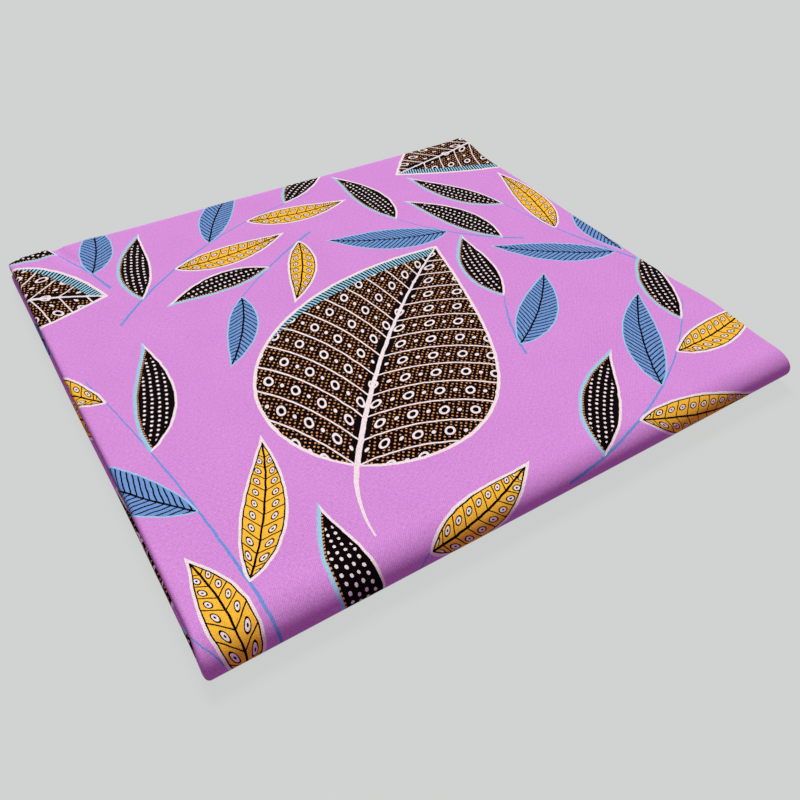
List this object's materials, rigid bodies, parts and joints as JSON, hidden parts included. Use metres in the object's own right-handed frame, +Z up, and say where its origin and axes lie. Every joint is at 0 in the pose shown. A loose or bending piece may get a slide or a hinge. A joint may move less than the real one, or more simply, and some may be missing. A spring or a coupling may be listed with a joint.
{
  "type": "folded length of wax-printed cotton cloth",
  "caption": "Flat folded bundle of printed cotton dress cloth, with a soft round fold along the front and layered edges behind.",
  "frame": {"origin": "middle of the footprint, on the surface that the folded cloth lies on", "axes": "+X along the front fold, +Y towards the back, where the layers end, +Z up"},
  "size_m": [0.3898, 0.3428, 0.0189],
  "materials": {
    "printed_cotton": "plain-weave cotton, orchid ground with a dark brown, gold, blue and cream leaf print, soft low sheen",
    "printed_cotton_edges": "the same cotton seen at its folds, selvages and cut ends, matt"
  },
  "bodies": {
    "root": {"outer_wrap": "printed_cotton", "folded_core": "printed_cotton_edges"}
  },
  "joints": []
}
